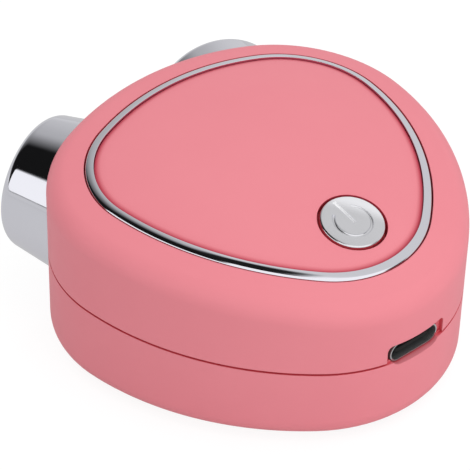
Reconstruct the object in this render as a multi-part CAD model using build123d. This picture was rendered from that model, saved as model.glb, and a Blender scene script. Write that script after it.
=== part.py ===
from build123d import *
import os
from math import cos, pi, radians, sin, sqrt, tan

# Handheld facial toning device: a moulded case in two shells, a domed face plate in a trim ring,
# a sprung power button, two tapered rollers on splayed axles, and the electronics inside.
#
# Everything is built in millimetres in the case's own frame: X across, Y from the tail towards
# the rollers, Z up, with Z = 0 on the parting plane of the shells. The base is raked against
# that plane, so at the end every piece is turned and moved until the base lies flat on Z = 0
# and the origin is under the middle of the whole device.

# Case outline: three corner circles joined by larger arcs.
tail_y = -18.85             # centre of the tail corner
tail_r = 21.78
shoulder_x = 10.0           # centres of the two shoulder corners, +-X
shoulder_y = -2.85
shoulder_r = 20.26
side_r = 45.25              # arcs along the two sides
front_r = 49.4              # arc across the front

# Case heights.
seam_height = 14.8          # parting plane above the base, measured square to the base under the origin
rake = 3.0                  # degrees between the parting plane and the base
crown_r = 107.7             # radius of the domed top
crown_y = -1.9              # its highest point
crown_top = 16.73           # height of that point over the parting plane
top_round = 3.58            # rounding of the top edge
base_round = 4.0            # rounding of the base edge
wall = 1.8                  # side walls
floor = 1.8                 # thickness of the base
roof = 1.5                  # thickness of the roof under the face plate
inner_round = 2.0           # inside corner under the roof

# Joint of the two shells.
groove_height = 0.35        # shadow groove along the parting line
groove_depth = 0.5
lip_height = 1.4            # tongue of the bottom shell inside the top shell
lip_width = 0.75
lip_gap = 0.05

# Trim ring and face plate.
ring_inset = 5.62           # from the case outline to the ring
ring_width = 1.2
ring_proud = 0.3            # ring top over the crown
ring_gap_out = 0.2          # between the ring and the shell
ring_gap_in = 0.12          # between the ring and the plate
ring_round = 0.4            # rounding of the ring's outer edge
ring_bevel = 0.12           # bevel of its inner edge
seat_depth = 1.7            # recess in the roof for the ring and the plate
glue_gap = 0.1              # under the ring and the plate
plate_round = 0.5           # rounding of the plate's edge

# Power button, along the local normal of the crown.
button_from_tail = 14.33    # from the tail's end to the button's middle
button_r = 4.65
button_gap = 0.4            # around the button in the plate
button_proud = 0.1          # button top over the crown
button_round = 0.3
button_travel = 0.4
flange_lip = 0.92           # flange wider than the button, keeps it under the plate
flange_thickness = 0.6
flange_gap = 0.1            # between the flange and the plate
stem_r = 1.6
stem_length = 3.2           # below the flange
stem_gap = 0.08
well_gap = 0.4              # around the flange
well_depth = 1.35           # room under the flange for the dome
well_floor = 1.2
well_wall = 1.5
symbol_r = 3.3              # power symbol: an open ring and a bar
symbol_line = 0.5
symbol_depth = 0.15
symbol_gap = 76             # degrees left open in the ring
symbol_bar = (-0.3, 3.8)    # start and end of the bar from the button's middle
dome_inset = 0.3            # foot of the silicone return dome, inside the flange
dome_top_r = 3.3
dome_skin = 0.55
dome_gap = 0.05

# Tactile switch and its board.
plunger_r = 1.3
plunger_length = 1.5
plunger_out = 0.9           # stands out of the switch body
switch_size = 5.0
switch_height = 1.7
switch_gap = 0.08
switch_board_size = (14.6, 10.0)
switch_board_thickness = 1.0
switch_screw_x = 5.4

# Rollers and axles.
roller_x = 13.37            # a point on the right roller's axis, in the parting plane
roller_y = 11.61
splay = 18.95               # degrees between the axis and straight ahead
roller_tip_r = 10.21        # cone radius at the end face
roller_taper = 9.27         # degrees, wider towards the case
roller_tip = 12.61          # end face along the axis, from the point above
roller_base = 2.5           # open end of the roller
roller_round = 2.2
roller_skin = 1.2
roller_dome = 0.83          # bulge of the end face
pocket_floor = 2.2
pocket_gap = 0.35           # radial, around the roller's open end
pocket_wall = 1.5
pocket_web = 11.0           # width of the web between a pocket and the floor
hub_wall = 2.2              # hub of the moulded core, around the axle
nose_wall = 1.2             # nose of the hub, towards the front bush
core_skin = 1.6
core_gap = 0.02
core_end_play = 0.1         # between the core's nose and the front bush
core_recess = 0.3           # disc of the core behind the roller's open end
skirt_recess = 2.0          # skirt of the core behind the roller's end wall
axle_r = 2.0
axle_end = -16.0            # inner end
axle_tip = 11.0             # end in the roller's core
axle_gap = 0.04             # running fit in the bushes
bush_wall = 0.8
bush_seat_gap = 0.02
bush_lip = 1.0              # flange wider than the bush
bush_flange = 0.8
seat_wall = 2.0             # around the front bush in the shells
seat_back = -2.2
rear_seat_front = -10.2     # seat of the rear bush in the carrier
rear_seat_back = -13.4
washer_thickness = 0.4
washer_wall = 1.4           # washer wider than the axle
stack_gap = 0.05            # end play between washer, clip and bush
clip_thickness = 0.5
clip_width = 1.9            # around the groove in the axle
clip_slot = 2.2
neck_depth = 0.4            # groove of the clip in the axle
spring_strip = 0.3          # contact spring
spring_width = 3.6
spring_foot = 5.0

# Carrier of the rear bushes.
carrier_gap = 0.1           # under the rear bushes' flanges
carrier_thickness = 1.3
carrier_front = 3.4
carrier_back = -9.0
carrier_half = 18.0
carrier_post_x = 15.6
carrier_post_y = -2.0

# Screws.
side_screw = (22.0, -4.0)   # right one of each pair
tail_screw_x = 11.0
tail_screw_reach = 13.13    # from the tail's end
case_boss_r = 2.7
case_screw_r = 1.0
case_head_r = 1.9
case_head_height = 1.2
case_head_seat = -6.0
case_screw_grip = 6.0
small_post_r = 2.2
small_screw_r = 0.8
small_head_r = 1.45
small_head_height = 0.9
small_screw_length = 4.5
screw_gap = 0.04            # thread in its pilot hole
clear_gap = 0.2             # shank or head in a clearance hole
plug_height = 2.5
plug_recess = 0.15

# Charging socket and main board.
socket_width = 8.94
socket_height = 3.16
socket_skin = 0.2
socket_length = 7.3
socket_z = 0.75             # middle, over the parting plane
socket_recess = 0.95        # rim behind the tail
socket_gap = 0.15
tongue_width = 6.7
tongue_thickness = 0.7
tongue_length = 4.6
tongue_base = 2.2
notch_width = 10.6
notch_top = 2.9
notch_depth = 1.3
notch_round = 0.9
pad_half = 6.5              # thicker wall around the socket
pad_inset = 2.7
board_thickness = 1.0
board_gap = 0.04            # under the socket
board_margin = 0.5          # to the wall
board_length = 26.1         # from the tail's end to the board's front edge
board_post_x = 16.0
board_post_reach = 18.6     # from the tail's end

# Battery.
battery_width = 22.0
battery_length = 27.0
battery_y = -10.5
battery_headroom = 0.73     # under the carrier
battery_round = 1.2
foam_thickness = 0.5
foam_inset = 2.0
battery_gap = 0.05
rib = 1.0
rib_gap = 0.35
rib_drop = 1.6              # below the battery's top
side_rib_length = 19.0
front_rib_length = 13.0

# Wires.
wire_r = 0.3
battery_wire_x = 3.0
battery_lead_height = 2.2
battery_wire_reach = 9.0
electrode_wire_top = 6.0
electrode_landing = 3.0     # behind the board's front edge
switch_wire_pitch = 1.8
switch_wire_y = 0.5
switch_wire_drop = 2.5

# Places and sizes that follow from the values above.
flip = {"right": 1, "left": -1}
plate_thickness = seat_depth - glue_gap
roof_depth = seat_depth + roof
tail_end = tail_y - tail_r
button_y = tail_end + button_from_tail
flange_r = button_r + flange_lip
dome_foot_r = flange_r - dome_inset
bush_r = axle_r + bush_wall
bush_flange_r = bush_r + bush_lip
seat_r = bush_r + seat_wall
hub_r = axle_r + hub_wall
neck_r = axle_r - neck_depth
clip_r = neck_r + clip_width
carrier_top = -bush_flange_r - carrier_gap
washer_r = axle_r + washer_wall
board_front = tail_end + board_length
board_post = (board_post_x, tail_end + board_post_reach)
tail_screw = (tail_screw_x, tail_end + tail_screw_reach)
case_screw_places = [(hand * x, y) for x, y in (side_screw, tail_screw) for hand in (1, -1)]
board_top = socket_z - socket_height / 2 - board_gap
board_bottom = board_top - board_thickness
far = 60                    # longer than any piece, for cuts that run right through


# Helpers.

def rod(place, radius, start, end):
    """A cylinder along the Z axis of a place."""
    height = end - start
    return place * Pos(0, 0, start + height / 2) * Cylinder(radius, height)


def block(place, size_x, size_y, start, end):
    """A box centred on the Z axis of a place, between two heights."""
    height = end - start
    return place * Pos(0, 0, start + height / 2) * Box(size_x, size_y, height)


def turned(place, points):
    """A profile of (radius, height) points turned about the Z axis of a place."""
    profile = Plane.XZ * make_face(Polyline([(r, h) for r, h in points], close=True))
    return place * revolve(profile, Axis.Z)


def joined(shapes):
    """Several solids as one shape."""
    result = shapes[0]
    for shape in shapes[1:]:
        result += shape
    return result


def arc(centre, radius, start, end):
    middle = centre + ((start - centre) + (end - centre)).normalized() * radius
    return ThreePointArc(start, middle, end)


def enclosing_centre(a, radius_a, b, radius_b, radius):
    """Centre of the arc that holds two circles inside and touches both, left of the line a to b."""
    reach_a = radius - radius_a
    reach_b = radius - radius_b
    span = (b - a).length
    along = (reach_a ** 2 - reach_b ** 2 + span ** 2) / (2 * span)
    across = sqrt(reach_a ** 2 - along ** 2)
    unit = (b - a).normalized()
    return a + unit * along + Vector(-unit.Y, unit.X) * across


def outline(inset):
    """The case outline, moved inwards: six arcs that meet smoothly."""
    tail = Vector(0, tail_y)
    right = Vector(shoulder_x, shoulder_y)
    left = Vector(-shoulder_x, shoulder_y)
    side_right = enclosing_centre(tail, tail_r, right, shoulder_r, side_r)
    side_left = Vector(-side_right.X, side_right.Y)
    front = enclosing_centre(right, shoulder_r, left, shoulder_r, front_r)

    def touch(corner, radius, big):
        return corner + (corner - big).normalized() * (radius - inset)

    points = [
        touch(tail, tail_r, side_right),
        touch(right, shoulder_r, side_right),
        touch(right, shoulder_r, front),
        touch(left, shoulder_r, front),
        touch(left, shoulder_r, side_left),
        touch(tail, tail_r, side_left),
    ]
    arcs = [
        arc(side_right, side_r - inset, points[0], points[1]),
        arc(right, shoulder_r - inset, points[1], points[2]),
        arc(front, front_r - inset, points[2], points[3]),
        arc(left, shoulder_r - inset, points[3], points[4]),
        arc(side_left, side_r - inset, points[4], points[5]),
        arc(tail, tail_r - inset, points[5], points[0]),
    ]
    return Face(Wire(arcs))


def prism(inset, low, high):
    return Pos(0, 0, low) * extrude(outline(inset), amount=high - low, dir=(0, 0, 1))


def dome(depth):
    """The ball whose top is the crown, made smaller by a depth. Its poles lie at the sides."""
    return Pos(0, crown_y, crown_top - crown_r) * Rot(0, 90, 0) * Sphere(crown_r - depth)


def crown_face(shape):
    """The upper domed face of a shape."""
    return shape.faces().filter_by(GeomType.SPHERE).sort_by(Axis.Z)[-1]


def crown_place(y):
    """A frame on the crown, above the middle line, with Z along the local normal."""
    centre = Vector(0, crown_y, crown_top - crown_r)
    reach = y - crown_y
    point = Vector(0, y, centre.Z + sqrt(crown_r ** 2 - reach ** 2))
    return Plane(origin=point, x_dir=(1, 0, 0), z_dir=(point - centre).normalized())


def roller_place(side):
    """A frame on a roller's axis, with Z out of the case along the axis."""
    hand = flip[side]
    direction = (hand * sin(radians(splay)), cos(radians(splay)), 0)
    return Plane(origin=(hand * roller_x, roller_y, 0), x_dir=(0, 0, 1), z_dir=direction)


def roller_radius(s, skin=0.0):
    """Radius of the roller's cone, or of its inside, at a place along the axis."""
    slope = tan(radians(roller_taper))
    return roller_tip_r + slope * (roller_tip - s) - skin / cos(radians(roller_taper))


base = Location((0, 0, 0), (-rake, 0, 0)) * Pos(0, 0, -seam_height)
button = crown_place(button_y)
pocket_r = roller_radius(roller_base) + pocket_gap

# Heights of the battery over the base plane.
battery_low = floor + foam_thickness + 2 * battery_gap
carrier_edge = base.inverse() * Pos(0, carrier_back, carrier_top - carrier_thickness)
battery_high = carrier_edge.position.Z - battery_headroom

# Heights along the button's axis, from the crown downwards.
cap_top = button_proud
flange_top = -plate_thickness - flange_r ** 2 / (2 * crown_r) - flange_gap
flange_low = flange_top - flange_thickness
well_low = flange_low - well_depth
stem_low = flange_low - stem_length
switch_top = stem_low - plunger_out
switch_low = switch_top - switch_height
switch_board_low = switch_low - switch_board_thickness


def screw(place, shank_r, length, head_r, head_height):
    """A pan-head screw: its head sits on Z = 0 of the place, its shank points down."""
    body = rod(place, shank_r, -length, 0) + rod(place, head_r, 0, head_height)
    body = body - block(place, head_r * 1.2, head_r * 0.28, head_height * 0.45, far)
    return body - block(place, head_r * 0.28, head_r * 1.2, head_height * 0.45, far)


# Shells.

def pocket_cups():
    """Walls around the roller pockets, with the seats of the front bushes behind them."""
    cups = []
    for side in flip:
        place = roller_place(side)
        cups.append(rod(place, pocket_r + pocket_wall, pocket_floor - pocket_wall, far))
        cups.append(rod(place, seat_r, seat_back, pocket_floor))
    return cups


def pocket_cuts():
    """The roller pockets and the bores of the front bushes."""
    cuts = []
    for side in flip:
        place = roller_place(side)
        cuts.append(rod(place, pocket_r, pocket_floor, far))
        cuts.append(rod(place, bush_r + bush_seat_gap, seat_back - wall, far))
    return cuts


def stadium(width, height, y_start, y_end):
    """A rounded slot along Y around the charging socket's middle."""
    section = SlotOverall(width, height)
    plane = Plane(origin=(0, y_start, socket_z), x_dir=(1, 0, 0), z_dir=(0, 1, 0))
    return extrude(plane * section, amount=y_end - y_start, dir=(0, 1, 0))


def socket_opening():
    gap = 2 * socket_gap
    return stadium(socket_width + gap, socket_height + gap, tail_end - 2, tail_end + wall + 4)


def tail_zone(low, high):
    """A box around the charging socket's stretch of wall."""
    return Pos(0, tail_end, (low + high) / 2) * Box(2 * pad_half, 2 * pad_inset, high - low)


def rim(outer_inset, inner_inset, low, high):
    """A band that follows the case outline."""
    return prism(outer_inset, low, high) - prism(inner_inset, low, high)


def top_shell():
    outside = prism(0, 0, crown_top + 1) & dome(0)
    outside = fillet(crown_face(outside).edges(), top_round)
    inside = prism(wall, 0, crown_top + 1) & dome(roof_depth)
    inside = fillet(crown_face(inside).edges(), inner_round)
    inside -= joined(pocket_cups())
    for x, y in case_screw_places:
        inside -= rod(Pos(x, y, 0), case_boss_r, 0, far)
    inside -= rod(button, flange_r + well_gap + well_wall, well_low - well_floor, 0)
    for x in (-switch_screw_x, switch_screw_x):
        inside -= rod(button * Pos(x, 0, 0), small_post_r, switch_low, 0)
    inside -= rim(0, pad_inset, 0, notch_top + wall) & tail_zone(0, notch_top + wall)
    shell = outside - inside

    # Recess for the ring and the plate, the button's well and the guide of its stem.
    shell -= prism(ring_inset - ring_gap_out, 0, far) - dome(seat_depth)
    shell -= rod(button, flange_r + well_gap, well_low, 0)
    shell -= rod(button, stem_r + stem_gap, well_low - far, 0)
    for x in (-switch_screw_x, switch_screw_x):
        shell -= rod(button * Pos(x, 0, 0), small_screw_r + screw_gap, switch_low - 1, switch_low + 3.6)
    for x, y in case_screw_places:
        shell -= rod(Pos(x, y, 0), case_screw_r + screw_gap, -1, case_screw_grip + 1)

    # Rebate for the lip, the pockets, and the notch and hole of the charging socket.
    rebate = rim(wall - lip_width - lip_gap, wall, 0, lip_height + lip_gap)
    shell -= rebate - tail_zone(-1, lip_height + 1)
    for cut in pocket_cuts():
        shell -= cut
    notch = Pos(0, tail_end, 0) * Box(notch_width, 2 * notch_depth, 2 * notch_top)
    notch = fillet(notch.edges().filter_by(Axis.Y), notch_round)
    return shell - notch - socket_opening()


def base_half_space(depth):
    """Everything above the base plane, raised by a depth."""
    return block(base, 200, 200, depth, depth + 100)


def bottom_shell():
    deep = -2 * seam_height
    outside = prism(0, deep, 0) & base_half_space(0)
    outside = fillet(outside.faces().sort_by(Axis.Z)[0].edges(), base_round)
    inside = prism(wall, deep, 0) & base_half_space(floor)
    inside = fillet(inside.faces().sort_by(Axis.Z)[0].edges(), base_round - wall)
    inside -= joined(pocket_cups())
    for side in flip:
        under = roller_place(side) * Pos(-pocket_r - far / 2, 0, 0)
        inside -= block(under, far, pocket_web, pocket_floor - pocket_wall, far)
    for x, y in case_screw_places:
        inside -= rod(Pos(x, y, 0), case_boss_r, deep, 0)
    for hand in flip.values():
        x, y = board_post
        inside -= rod(Pos(hand * x, y, 0), small_post_r, deep, board_bottom)
        x = hand * carrier_post_x
        inside -= rod(Pos(x, carrier_post_y, 0), small_post_r, deep, carrier_top - carrier_thickness)
        x = hand * (battery_width / 2 + rib_gap + rib / 2)
        inside -= block(base * Pos(x, battery_y, 0), rib, side_rib_length, 0, battery_high - rib_drop)
    front_rib_y = battery_y + battery_length / 2 + rib_gap + rib / 2
    inside -= block(base * Pos(0, front_rib_y, 0), front_rib_length, rib, 0, battery_high - rib_drop)
    inside -= rim(0, pad_inset, deep, 0) & tail_zone(-socket_height - wall, 0)
    shell = outside - inside

    # Lip and shadow groove along the parting line.
    shell += rim(wall - lip_width, wall, -0.5, lip_height) - tail_zone(-1, lip_height + 1)
    shell -= rim(-1, groove_depth, -groove_height, 0)

    for cut in pocket_cuts():
        shell -= cut
    for x, y in case_screw_places:
        shell -= rod(Pos(x, y, 0), case_screw_r + clear_gap, deep, 1)
        shell -= rod(Pos(x, y, 0), case_head_r + clear_gap, deep, case_head_seat)
    for hand in flip.values():
        x, y = board_post
        shell -= rod(Pos(hand * x, y, board_bottom), small_screw_r + screw_gap, -4.2, 1)
        place = Pos(hand * carrier_post_x, carrier_post_y, carrier_top - carrier_thickness)
        shell -= rod(place, small_screw_r + screw_gap, -4.2, 1)
    return shell - socket_opening()


def case_screws():
    screws = []
    for x, y in case_screw_places:
        place = Pos(x, y, case_head_seat) * Rot(180, 0, 0)
        length = case_screw_grip - case_head_seat
        screws.append(screw(place, case_screw_r, length, case_head_r, case_head_height))
    return screws


def screw_plugs():
    """Rubber plugs that close the screw wells, a little under the base."""
    plugs = []
    for x, y in case_screw_places:
        plug = rod(Pos(x, y, 0), case_head_r + clear_gap / 2, -2 * seam_height, 0)
        plug &= block(base, 200, 200, plug_recess, plug_recess + plug_height)
        plugs.append(plug)
    return plugs


# Ring, plate and button.

def trim_ring():
    band = rim(ring_inset, ring_inset + ring_width, 0, far) & dome(-ring_proud)
    band -= dome(plate_thickness)
    outer = crown_face(band).wires().sort_by(SortBy.LENGTH)[-1]
    band = fillet(outer.edges(), ring_round)
    inner = crown_face(band).wires().sort_by(SortBy.LENGTH)[0]
    return chamfer(inner.edges(), ring_bevel)


def face_plate():
    plate = prism(ring_inset + ring_width + ring_gap_in, 0, far) & dome(0)
    plate -= dome(plate_thickness)
    plate = fillet(crown_face(plate).edges(), plate_round)
    return plate - rod(button, button_r + button_gap, -5, 5)


def power_symbol():
    """An open ring with its gap towards the rollers, and a bar from its middle out of the gap."""
    depth = symbol_depth
    low = cap_top - depth
    half = symbol_line / 2
    ring = rod(button, symbol_r + half, low, 1) - rod(button, symbol_r - half, low, 1)
    reach = symbol_r + 2
    spread = reach * tan(radians(symbol_gap / 2))
    wedge = make_face(Polyline([(0, 0), (spread, reach), (-spread, reach)], close=True))
    ring -= button * Pos(0, 0, low - 1) * extrude(wedge, amount=5, dir=(0, 0, 1))
    start, end = symbol_bar
    return ring + block(button * Pos(0, (start + end) / 2, 0), symbol_line, end - start, low, 1)


def power_button():
    cap = rod(button, button_r, flange_low, cap_top)
    cap = fillet(cap.faces().sort_by(Axis.Z)[-1].edges(), button_round)
    cap += rod(button, flange_r, flange_low, flange_top)
    cap += rod(button, stem_r, stem_low, flange_low)
    return cap - power_symbol()


def button_dome():
    """A silicone cone between the button's flange and the floor of its well."""
    high = flange_low - dome_gap
    hole = stem_r + stem_gap + 0.3
    return turned(button, [
        (dome_foot_r, well_low),
        (dome_foot_r, well_low + dome_skin),
        (dome_top_r, high),
        (hole, high),
        (hole, high - dome_skin),
        (dome_top_r - dome_skin, high - dome_skin),
        (dome_foot_r - 2 * dome_skin, well_low + dome_skin * 0.6),
        (dome_foot_r - 2 * dome_skin, well_low),
    ])


def switch_body():
    body = block(button, switch_size, switch_size, switch_low, switch_top)
    body = chamfer(body.edges().filter_by(lambda e: abs(e.length - switch_height) < 0.01), 0.4)
    cavity_low = stem_low - plunger_length - button_travel - switch_gap
    return body - rod(button, plunger_r + switch_gap, cavity_low, switch_top + 1)


def switch_plunger():
    return rod(button, plunger_r, stem_low - plunger_length, stem_low)


def switch_board():
    width, depth = switch_board_size
    board = block(button, width, depth, switch_board_low, switch_low)
    board = fillet(board.edges().filter_by(lambda e: abs(e.length - switch_board_thickness) < 0.01), 1)
    for x in (-switch_screw_x, switch_screw_x):
        board -= rod(button * Pos(x, 0, 0), small_screw_r + clear_gap, switch_board_low - 1, 0)
    return board


def switch_board_screws():
    screws = []
    for x in (-switch_screw_x, switch_screw_x):
        place = button * Pos(x, 0, switch_board_low) * Rot(180, 0, 0)
        screws.append(screw(place, small_screw_r, small_screw_length, small_head_r, small_head_height))
    return screws


# Rollers.

def roller_cone(low, high, skin):
    """The roller's cone between two places along its axis, or the hollow inside its skin."""
    return Pos(0, 0, (low + high) / 2) * Cone(
        roller_radius(low, skin), roller_radius(high, skin), high - low)


def roller_shell(side):
    """The hollow chrome-plated cone with its rounded, slightly bulged end."""
    ball_r = (roller_tip_r ** 2 + roller_dome ** 2) / (2 * roller_dome)
    ball = Pos(0, 0, roller_tip + roller_dome - ball_r) * Rot(0, 90, 0) * Sphere(ball_r)
    cone = roller_cone(roller_base, roller_tip + 2 * roller_dome, 0) & ball
    cone = fillet(crown_face(cone).edges(), roller_round)
    hollow = roller_cone(roller_base, roller_tip - roller_skin, roller_skin)
    return roller_place(side) * (cone - hollow)


def roller_core(side):
    """The moulded hub in the roller: a tube for the axle, a disc and a skirt."""
    fit = roller_skin + core_gap
    nose = pocket_floor + core_end_play
    disc_low = roller_base + core_recess
    disc_high = disc_low + core_skin
    skirt_high = roller_tip - roller_skin - skirt_recess
    nose_r = axle_r + nose_wall
    bore = axle_r + core_gap
    top = roller_tip - roller_skin - core_gap
    return turned(roller_place(side), [
        (bore, nose),
        (nose_r, nose),
        (nose_r, disc_low),
        (roller_radius(disc_low, fit), disc_low),
        (roller_radius(skirt_high, fit), skirt_high),
        (roller_radius(skirt_high, fit) - core_skin, skirt_high),
        (roller_radius(disc_high, fit) - core_skin, disc_high),
        (hub_r, disc_high),
        (hub_r, top),
        (bore, top),
    ])


def clip_front():
    return rear_seat_back - stack_gap - washer_thickness - stack_gap


def axle(side):
    place = roller_place(side)
    pin = rod(place, axle_r, axle_end, axle_tip)
    pin = chamfer(pin.edges().filter_by(GeomType.CIRCLE), 0.3)
    low = clip_front() - clip_thickness - stack_gap / 2
    high = clip_front() + stack_gap / 2
    groove = rod(place, axle_r + 1, low, high) - rod(place, neck_r, low, high)
    return pin - groove


def axle_clip(side):
    """A retaining clip: a ring with an open side."""
    place = roller_place(side)
    low = clip_front() - clip_thickness
    ring = rod(place, clip_r, low, clip_front()) - rod(place, neck_r + 0.02, low, clip_front())
    return ring - block(place * Pos(clip_r, 0, 0), 2 * clip_r, clip_slot, low - 1, clip_front() + 1)


def thrust_washer(side):
    place = roller_place(side)
    high = rear_seat_back - stack_gap
    low = high - washer_thickness
    return rod(place, washer_r, low, high) - rod(place, axle_r + axle_gap, low, high)


def front_bush(side):
    """A flanged bush: its sleeve in the seat, its flange against the seat's back."""
    place = roller_place(side)
    sleeve = rod(place, bush_r, seat_back, pocket_floor)
    sleeve += rod(place, bush_flange_r, seat_back - bush_flange, seat_back)
    return sleeve - rod(place, axle_r + axle_gap, seat_back - 2, pocket_floor + 1)


def rear_bush(side):
    place = roller_place(side)
    sleeve = rod(place, bush_r, rear_seat_back, rear_seat_front)
    sleeve += rod(place, bush_flange_r, rear_seat_front, rear_seat_front + bush_flange)
    return sleeve - rod(place, axle_r + axle_gap, rear_seat_back - 1, rear_seat_front + 2)


def contact_spring(side):
    """A leaf spring whose blade faces the inner end of the axle and whose foot lies on the carrier."""
    place = roller_place(side)
    high = axle_end - 0.05
    reach = -carrier_top
    blade = place * Pos(0, 0, high - spring_strip / 2) * Pos(0.9 - reach / 2, 0, 0) * Box(
        reach + 1.8, spring_width, spring_strip)
    foot = place * Pos(-reach + spring_strip / 2, 0, high - spring_foot / 2) * Box(
        spring_strip, spring_width, spring_foot)
    return blade + foot


# Carrier.

def roller_carrier():
    """The moulded frame that carries the rear bushes, the contact springs and two screws."""
    depth = carrier_front - carrier_back
    middle = (carrier_front + carrier_back) / 2
    plate = Pos(0, middle, carrier_top - carrier_thickness / 2) * Box(
        2 * carrier_half, depth, carrier_thickness)
    plate = fillet(plate.edges().filter_by(Axis.Z), 2)
    for side in flip:
        place = roller_place(side)
        tower = block(place, far, 2 * (bush_flange_r + 0.3), rear_seat_back, rear_seat_front)
        tower &= Pos(0, 0, (carrier_top + seat_r) / 2) * Box(200, 200, seat_r - carrier_top)
        plate += tower
        plate -= rod(place, bush_r + bush_seat_gap, rear_seat_back - 1, rear_seat_front + 1)
    for hand in flip.values():
        place = Pos(hand * carrier_post_x, carrier_post_y, 0)
        plate -= rod(place, small_screw_r + clear_gap, -far, 0)
    return plate


def carrier_screws():
    screws = []
    for hand in flip.values():
        place = Pos(hand * carrier_post_x, carrier_post_y, carrier_top)
        screws.append(screw(place, small_screw_r, small_screw_length, small_head_r, small_head_height))
    return screws


# Charging socket and board.

socket_front = tail_end + socket_recess
socket_back = socket_front + socket_length
leg_places = (socket_front + 3.4, socket_back - 1.2)


def usb_shell():
    """The drawn metal shell of the socket, closed at the back, with two solder legs a side."""
    skin = 2 * socket_skin
    shell = stadium(socket_width, socket_height, socket_front, socket_back)
    shell -= stadium(socket_width - skin, socket_height - skin, socket_front - 1, socket_back - socket_skin)
    for hand in flip.values():
        for y in leg_places:
            x = hand * (socket_width / 2 - socket_skin / 2)
            shell += Pos(x, y, socket_z - 1.3) * Box(socket_skin, 1.0, 2.6)
    return shell


def usb_tongue():
    """The moulded base of the socket with the contact tongue."""
    gap = 2 * (socket_skin + core_gap)
    back = socket_back - socket_skin - core_gap
    base_block = stadium(socket_width - gap, socket_height - gap, back - tongue_base, back)
    tongue = Pos(0, back - tongue_base - tongue_length / 2, socket_z) * Box(
        tongue_width, tongue_length, tongue_thickness)
    tongue = fillet(tongue.edges().filter_by(Axis.Z).sort_by(Axis.Y)[:2], 0.6)
    return base_block + tongue


def main_board():
    board = prism(wall + board_margin, board_bottom, board_top)
    board -= Pos(0, board_front + far / 2, 0) * Box(200, far, 20)
    bay = Pos(0, tail_end, 0) * Box(2 * (pad_half + board_margin), 4 * pad_inset, 20)
    board -= bay - prism(pad_inset + board_margin, -20, 20)
    for x, y in case_screw_places:
        board -= rod(Pos(x, y, 0), case_boss_r + board_margin / 2, -20, 20)
    for hand in flip.values():
        x, y = board_post
        board -= rod(Pos(hand * x, y, 0), small_screw_r + clear_gap, -20, 20)
        for leg_y in leg_places:
            x = hand * (socket_width / 2 - socket_skin / 2)
            board -= Pos(x, leg_y, board_top) * Box(socket_skin + 0.3, 1.3, 4)
    return board


def board_screws():
    screws = []
    for hand in flip.values():
        x, y = board_post
        place = Pos(hand * x, y, board_top)
        screws.append(screw(place, small_screw_r, small_screw_length, small_head_r, small_head_height))
    return screws


def chip(x, reach, size_x, size_y, height):
    """A moulded chip on the board, with its first pin marked by a dimple."""
    y = tail_end + reach
    body = block(Pos(x, y, board_top), size_x, size_y, 0, height)
    body = chamfer(body.faces().sort_by(Axis.Z)[-1].edges(), 0.15)
    dimple = Pos(x - size_x * 0.32, y + size_y * 0.32, board_top + height)
    return body - rod(dimple, 0.3, -0.15, 1)


def controller_chip():
    return chip(-6.5, 18.6, 5.0, 5.0, 0.9)


def charger_chip():
    return chip(5.5, 16.1, 3.0, 3.0, 0.85)


def boost_coil():
    """A wound coil between the two flanges of its core."""
    core_r = 2.6
    winding_r = 2.1
    flange = 0.5
    height = 2.6
    return turned(Pos(1.0, tail_end + 22.0, board_top), [
        (0, 0),
        (core_r, 0),
        (core_r, flange),
        (winding_r, flange + 0.1),
        (winding_r, height - flange - 0.1),
        (core_r, height - flange),
        (core_r, height),
        (0, height),
    ])


def board_capacitors():
    places = [(4.9, 21.0), (4.9, 19.4), (-3.2, 13.4), (-1.2, 13.4), (8.2, 19.6)]
    return [block(Pos(x, tail_end + reach, board_top), 1.6, 0.9, 0, 0.85) for x, reach in places]


# Battery.

def battery():
    place = base * Pos(0, battery_y, 0)
    cell = block(place, battery_width, battery_length, battery_low, battery_high)
    long_edges = [edge for edge in cell.edges() if abs(edge.length - battery_length) < 0.01]
    return fillet(long_edges, battery_round)


def battery_pad():
    """Adhesive foam between the battery and the floor."""
    place = base * Pos(0, battery_y, 0)
    low = floor + battery_gap
    width = battery_width - foam_inset
    length = battery_length - foam_inset
    return block(place, width, length, low, low + foam_thickness)


# Wires.

def wire(points):
    """A round wire along straight runs and the largest arcs between them."""
    runs = [(b - a).length for a, b in zip(points, points[1:])]
    radii = []
    for i in range(1, len(points) - 1):
        turn = (points[i] - points[i - 1]).get_angle(points[i + 1] - points[i])
        radii.append(0.45 * min(runs[i - 1], runs[i]) / tan(radians(turn / 2)))
    path = FilletPolyline(points, radius=radii)
    start = Plane(origin=points[0], z_dir=(points[1] - points[0]).normalized())
    tube = sweep(start * Circle(wire_r), path=path)
    share = tube.volume / (path.length * pi * wire_r ** 2)
    print("wire bend radii", [round(r, 2) for r in radii])
    print("wire length", round(path.length, 2), "volume share", round(share, 4))
    return tube


def battery_wire(x):
    """From the battery's tail end back and up to a pad under the main board."""
    y = battery_y - battery_length / 2
    lead = (base * Pos(x, y, battery_low + battery_lead_height)).position
    bend = (base * Pos(x, y - battery_wire_reach, battery_low + battery_lead_height)).position
    return wire([lead, bend, Vector(bend.X, bend.Y, board_bottom)])


def electrode_wire(side):
    """From the contact spring's foot up, back and down to the main board."""
    foot = (roller_place(side) * Pos(0, 0, axle_end - spring_foot + 1)).position
    landing = board_front - electrode_landing
    return wire([
        Vector(foot.X, foot.Y, carrier_top + spring_strip),
        Vector(foot.X, foot.Y, electrode_wire_top),
        Vector(foot.X, landing, electrode_wire_top),
        Vector(foot.X, landing, board_top),
    ])


def switch_wires():
    """Three short wires from under the switch board down to the main board."""
    wires = []
    for x in (-switch_wire_pitch, 0, switch_wire_pitch):
        start = (button * Pos(x, switch_wire_y, switch_board_low)).position
        bend = (button * Pos(x, switch_wire_y, switch_board_low - switch_wire_drop)).position
        wires.append(wire([start, bend, Vector(bend.X, bend.Y, board_top)]))
    return wires


# All pieces.

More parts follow.
